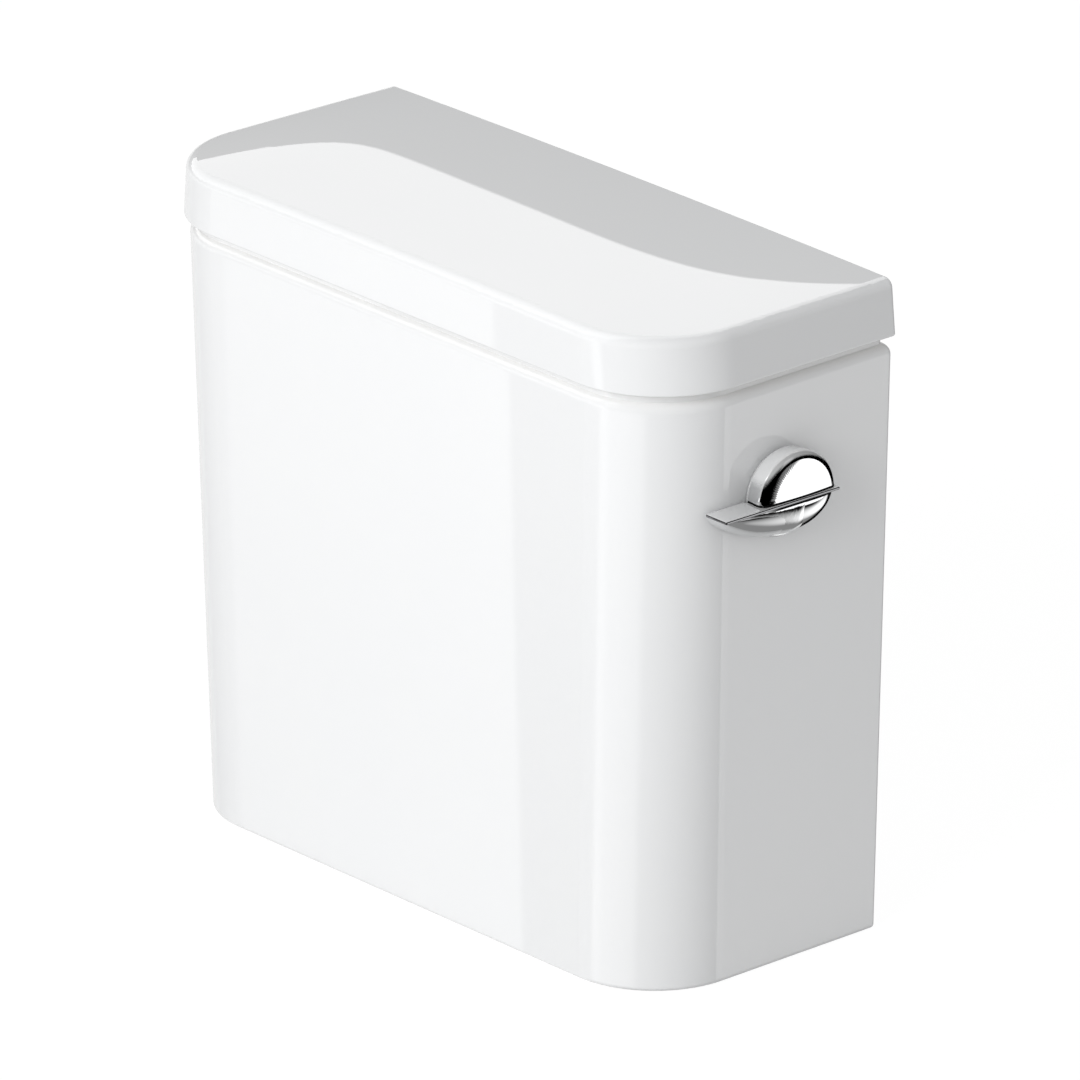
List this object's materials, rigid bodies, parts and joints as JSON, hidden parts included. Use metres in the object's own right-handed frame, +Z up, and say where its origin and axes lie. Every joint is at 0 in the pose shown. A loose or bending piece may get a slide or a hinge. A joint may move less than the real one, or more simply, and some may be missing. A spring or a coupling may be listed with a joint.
{
  "type": "toilet cistern",
  "caption": "White china close-coupled toilet cistern with lift-off lid, chrome side lever, flapper flush valve and float-cup fill valve.",
  "frame": {"origin": "centre of the flush outlet in the plane of the tank's underside", "axes": "+X to the right seen from the front (the trip lever's side), +Y towards the wall, +Z up; -Z is the way the flush water leaves"},
  "size_m": [0.4236, 0.1729, 0.4176],
  "materials": {
    "glazed_china": "white vitreous china, high gloss glaze",
    "polished_chrome": "polished chrome plate",
    "bright_brass": "bright drawn brass",
    "stainless_wire": "bright stainless steel",
    "white_plastic": "satin moulded plastic",
    "grey_plastic": "satin moulded plastic",
    "black_plastic": "satin moulded plastic",
    "flapper_rubber": "soft matt rubber",
    "black_rubber": "matt rubber",
    "clear_vinyl": "clear flexible vinyl"
  },
  "bodies": {
    "tank": {"tank_shell": "glazed_china", "handle_escutcheon": "polished_chrome", "handle_gasket": "black_rubber", "handle_bushing": "black_plastic", "bushing_washer": "black_rubber", "bushing_nut": "black_plastic", "flush_valve_body": "white_plastic", "overflow_tube": "white_plastic", "flush_valve_washer": "black_rubber", "flush_valve_nut": "black_plastic", "tank_to_bowl_gasket": "black_rubber", "tank_bolts": "bright_brass", "bolt_rubber_washers": "black_rubber", "bolt_flat_washers": "bright_brass", "bolt_nuts": "bright_brass", "fill_valve_base": "grey_plastic", "shank_washer": "black_rubber", "shank_nut": "white_plastic", "riser_tube": "grey_plastic", "riser_lock_ring": "black_plastic", "fill_valve_head": "grey_plastic", "valve_diaphragm": "black_rubber", "fill_valve_cap": "black_plastic", "valve_lever_pin": "stainless_wire", "refill_tube": "clear_vinyl", "refill_clip": "white_plastic"},
    "lid": {"lid": "glazed_china", "rim_pads": "clear_vinyl"},
    "trip_lever": {"flush_handle": "polished_chrome", "handle_spindle": "bright_brass", "trip_arm_hub": "bright_brass", "hub_screw": "stainless_wire", "trip_arm": "bright_brass"},
    "chain": {"chain_clip": "stainless_wire", "lift_chain": "stainless_wire"},
    "flapper": {"flapper_seal": "flapper_rubber", "flapper_frame": "black_plastic"},
    "float": {"float_cup": "black_plastic"},
    "level_screw": {"level_screw": "white_plastic"},
    "valve_lever": {"valve_lever": "white_plastic"}
  },
  "joints": [
    {"name": "lid_lift", "type": "slide", "parent": "tank", "child": "lid", "axis": [0, 0, 1], "range_m": [0, 0.15]},
    {"name": "handle_turn", "type": "hinge", "parent": "tank", "child": "trip_lever", "pos_m": [0.2, -0.022, 0.271], "axis": [1, 0, 0], "range_deg": [0, 35]},
    {"name": "chain_hang", "type": "hinge", "parent": "trip_lever", "child": "chain", "pos_m": [0, 0.02673, 0.27612], "axis": [1, 0, 0], "range_deg": [-35, 0]},
    {"name": "flapper_lift", "type": "hinge", "parent": "tank", "child": "flapper", "pos_m": [0, -0.042, 0.061], "axis": [1, 0, 0], "range_deg": [0, 35]},
    {"name": "float_rise", "type": "slide", "parent": "tank", "child": "float", "axis": [0, 0, 1], "range_m": [0, 0.012]},
    {"name": "level_screw_turn", "type": "hinge", "parent": "float", "child": "level_screw", "pos_m": [-0.13, -0.07, 0.25], "axis": [0, 0, 1], "continuous": true},
    {"name": "valve_lever_turn", "type": "hinge", "parent": "tank", "child": "valve_lever", "pos_m": [-0.13, -0.02113, 0.308], "axis": [-1, 0, 0], "range_deg": [0, 14]}
  ],
  "couplings": [
    {"joint": "chain_hang", "follows": "handle_turn", "ratio": -1},
    {"joint": "flapper_lift", "follows": "handle_turn", "ratio": 1},
    {"joint": "valve_lever_turn", "follows": "float_rise", "rad_per_m": 20.362}
  ]
}
